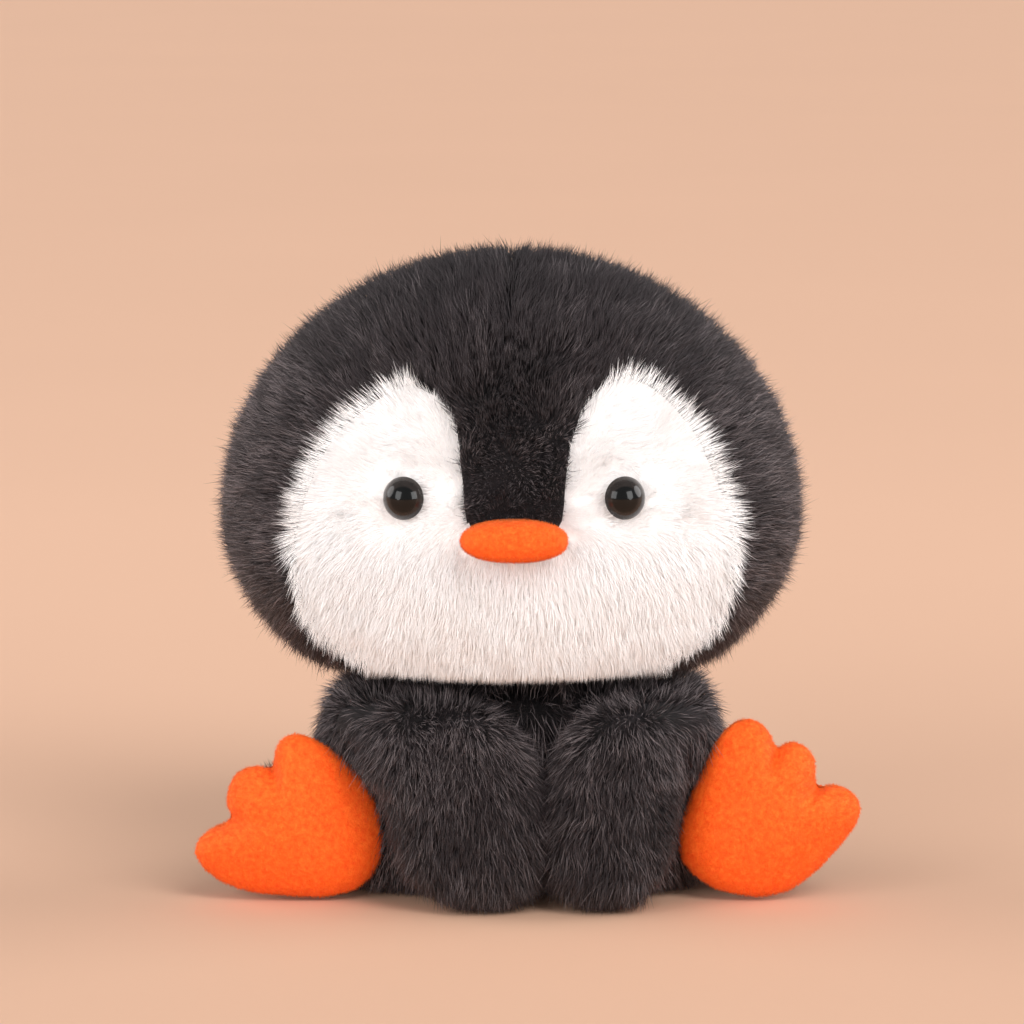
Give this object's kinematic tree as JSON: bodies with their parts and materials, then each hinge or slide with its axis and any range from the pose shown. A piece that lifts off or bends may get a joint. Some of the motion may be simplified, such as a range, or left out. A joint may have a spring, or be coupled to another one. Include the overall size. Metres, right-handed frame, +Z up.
{
  "type": "plush penguin",
  "caption": "Seated plush penguin with a big furry head, white heart-shaped face, stuffed beak, hanging flippers and orange three-toed feet.",
  "frame": {"origin": "on the table under the torso, on the flat seat base", "axes": "+Z up; the toy faces -Y; +X is the toy's own left"},
  "size_m": [0.2232, 0.1633, 0.212],
  "materials": {
    "black_fur": "charcoal faux fur with a 10 mm pile",
    "white_fur": "white faux fur with a 9 mm pile",
    "orange_velvet": "short-pile orange velvet",
    "stuffing": "loose polyester fibre filling",
    "eye": "polished black plastic",
    "eye_washer": "moulded natural plastic"
  },
  "bodies": {
    "torso": {"body_front": "black_fur", "body_back_left": "black_fur", "body_back_right": "black_fur", "body_base": "black_fur", "body_stuffing": "stuffing"},
    "neck": {"neck_stuffing": "stuffing"},
    "head": {"face_left": "white_fur", "face_right": "white_fur", "cheek_left": "black_fur", "cheek_right": "black_fur", "crown_left": "black_fur", "crown_right": "black_fur", "head_back_left": "black_fur", "head_back_right": "black_fur", "eye_left": "eye", "eye_right": "eye", "eye_washer_left": "eye_washer", "eye_washer_right": "eye_washer", "forehead_gusset": "black_fur", "head_stuffing": "stuffing", "beak_upper": "orange_velvet", "beak_lower": "orange_velvet", "beak_stuffing": "stuffing"},
    "flipper_left": {"flipper_front_left": "black_fur", "flipper_back_left": "black_fur", "flipper_stuffing_left": "stuffing"},
    "leg_left": {"leg_top_left": "black_fur", "leg_under_left": "black_fur", "leg_stuffing_left": "stuffing", "foot_sole_left": "orange_velvet", "foot_upper_left": "orange_velvet", "foot_stuffing_left": "stuffing"},
    "flipper_right": {"flipper_front_right": "black_fur", "flipper_back_right": "black_fur", "flipper_stuffing_right": "stuffing"},
    "leg_right": {"leg_top_right": "black_fur", "leg_under_right": "black_fur", "leg_stuffing_right": "stuffing", "foot_sole_right": "orange_velvet", "foot_upper_right": "orange_velvet", "foot_stuffing_right": "stuffing"}
  },
  "joints": [
    {"name": "head_turn", "type": "hinge", "parent": "torso", "child": "neck", "pos_m": [-0.003, 0.004, 0.0735], "axis": [0, 0, 1], "range_deg": [-25, 25], "stiffness_Nm_per_rad": 0.3},
    {"name": "head_nod", "type": "hinge", "parent": "neck", "child": "head", "pos_m": [-0.003, 0.004, 0.0735], "axis": [1, 0, 0], "range_deg": [-5, 5], "stiffness_Nm_per_rad": 1.2},
    {"name": "flipper_left_swing", "type": "hinge", "parent": "torso", "child": "flipper_left", "pos_m": [0.033, -0.0415, 0.064], "axis": [-1, 0, 0], "range_deg": [0, 70]},
    {"name": "flipper_right_swing", "type": "hinge", "parent": "torso", "child": "flipper_right", "pos_m": [-0.02, -0.0415, 0.064], "axis": [-1, 0, 0], "range_deg": [0, 70]},
    {"name": "leg_left_raise", "type": "hinge", "parent": "torso", "child": "leg_left", "pos_m": [0.068, 0.008, 0.022], "axis": [-1, 0, 0], "range_deg": [0, 15]},
    {"name": "leg_right_raise", "type": "hinge", "parent": "torso", "child": "leg_right", "pos_m": [-0.066, 0.008, 0.022], "axis": [-1, 0, 0], "range_deg": [0, 15]}
  ]
}
